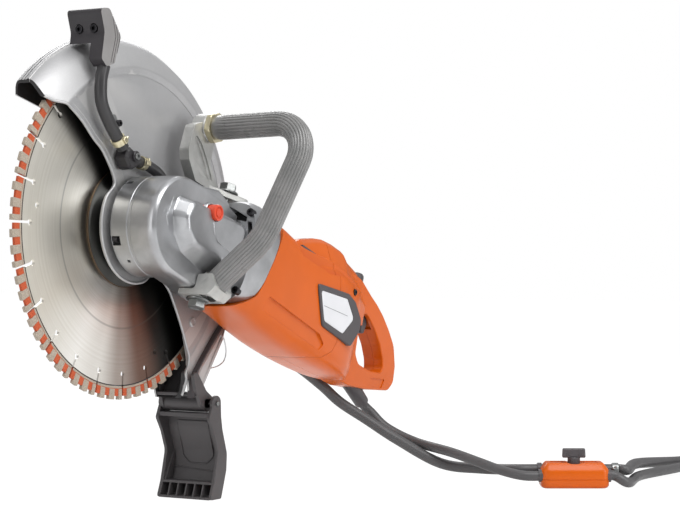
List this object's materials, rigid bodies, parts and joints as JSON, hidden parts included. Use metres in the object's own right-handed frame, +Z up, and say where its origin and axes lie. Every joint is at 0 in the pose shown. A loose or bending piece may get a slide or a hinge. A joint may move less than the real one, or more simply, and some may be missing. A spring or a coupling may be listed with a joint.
{
  "type": "concrete cut-off saw",
  "caption": "Hand-held electric concrete cut-off saw with a swinging blade guard, folding splash foot, hoop front handle, rear trigger handle and an in-line water valve.",
  "frame": {"origin": "middle of the splash foot's rest face, on the floor", "axes": "+X to the rear handle, +Y to the blade's outer side, +Z up; the blade turns about Y"},
  "size_m": [0.8819, 0.4439, 0.501],
  "materials": {
    "cast_alloy": "satin cast",
    "guard_grey": "satin silver-grey",
    "orange_plastic": "glossy",
    "black_rubber": "ribbed, matt",
    "dark_plastic": "fine texture",
    "bearing_steel": "ground",
    "blade_steel": "ground",
    "yellow_zinc": "zinc plated",
    "black_screw": "blackened",
    "brass_band": "plated",
    "copper": "bare copper",
    "carbon": "matt",
    "label_grey": "satin",
    "red_plastic": "satin"
  },
  "bodies": {
    "machine": {"gear_housing": "cast_alloy", "gear_cover": "cast_alloy", "motor_flange": "cast_alloy", "motor_housing": "orange_plastic", "rear_handle_left": "orange_plastic", "rear_handle_right": "orange_plastic", "handle_tube": "bearing_steel", "handle_sleeve": "black_rubber", "handle_upper_bracket": "cast_alloy", "handle_lower_bracket": "cast_alloy", "handle_bolt_upper": "yellow_zinc", "handle_bolt_lower": "yellow_zinc", "cover_screw": "bearing_steel", "handle_screw": "black_screw", "spindle_bearing_outboard": "bearing_steel", "spindle_bearing_inboard": "bearing_steel", "motor_bearing_front": "bearing_steel", "motor_bearing_rear": "bearing_steel", "stator": "bearing_steel", "carbon_brush_upper": "carbon", "carbon_brush_lower": "carbon", "control_module": "dark_plastic", "power_switch": "dark_plastic", "badge_frame": "dark_plastic", "badge_plate": "label_grey", "strain_relief": "dark_plastic", "power_cable": "black_rubber", "cable_plug": "black_rubber", "water_hose_machine": "black_rubber", "water_hose_supply": "black_rubber", "hose_coupling": "brass_band", "valve_housing": "orange_plastic", "hose_clamp_supply": "bearing_steel"},
    "blade": {"cutting_blade": "blade_steel", "inner_flange": "yellow_zinc", "outer_flange": "yellow_zinc", "blade_bolt": "yellow_zinc", "spindle": "bearing_steel", "crown_gear": "bearing_steel"},
    "rotor": {"rotor_shaft": "bearing_steel", "rotor_core": "bearing_steel", "commutator": "copper", "cooling_fan": "dark_plastic", "bevel_pinion": "bearing_steel"},
    "guard": {"guard_inboard_shell": "guard_grey", "guard_outboard_shell": "guard_grey", "guard_grip": "black_rubber", "grip_screw_left": "black_screw", "grip_screw_right": "black_screw", "guard_hose": "black_rubber", "hose_connector": "black_rubber", "hose_clamp_upper": "brass_band", "foot_bracket": "dark_plastic", "hinge_pin": "bearing_steel", "foot_spring": "bearing_steel"},
    "foot": {"splash_foot": "dark_plastic"},
    "trigger": {"trigger": "dark_plastic"},
    "lockout": {"lockout_button": "dark_plastic"},
    "spindle_lock": {"spindle_lock_button": "red_plastic"},
    "valve_knob": {"valve_knob": "dark_plastic"}
  },
  "joints": [
    {"name": "blade_spin", "type": "hinge", "parent": "machine", "child": "blade", "pos_m": [-0.115, 0, 0.287], "axis": [0, 1, 0], "continuous": true},
    {"name": "motor_spin", "type": "hinge", "parent": "machine", "child": "rotor", "pos_m": [-0.115, -0.065, 0.287], "axis": [0.9397, 0, -0.342], "continuous": true},
    {"name": "guard_swing", "type": "hinge", "parent": "machine", "child": "guard", "pos_m": [-0.115, 0, 0.287], "axis": [0, 1, 0], "range_deg": [-10, 30]},
    {"name": "foot_fold", "type": "hinge", "parent": "guard", "child": "foot", "pos_m": [0.002, 0, 0.1015], "axis": [0, 1, 0], "range_deg": [-25, 35]},
    {"name": "trigger_pull", "type": "hinge", "parent": "machine", "child": "trigger", "pos_m": [0.24603, -0.065, 0.2088], "axis": [0, -1, 0], "range_deg": [0, 8], "stiffness_Nm_per_rad": 0.2},
    {"name": "lockout_press", "type": "slide", "parent": "machine", "child": "lockout", "axis": [-0.342, 0, -0.9397], "range_m": [0, 0.004], "stiffness_N_per_m": 100},
    {"name": "spindle_lock_press", "type": "slide", "parent": "machine", "child": "spindle_lock", "axis": [0, 1, 0], "range_m": [0, 0.004], "stiffness_N_per_m": 100},
    {"name": "valve_turn", "type": "hinge", "parent": "machine", "child": "valve_knob", "pos_m": [0.303, -0.311, 0.028], "axis": [0, 0, 1], "range_deg": [0, 90]}
  ],
  "couplings": [
    {"joint": "motor_spin", "follows": "blade_spin", "ratio": -3.4545}
  ]
}
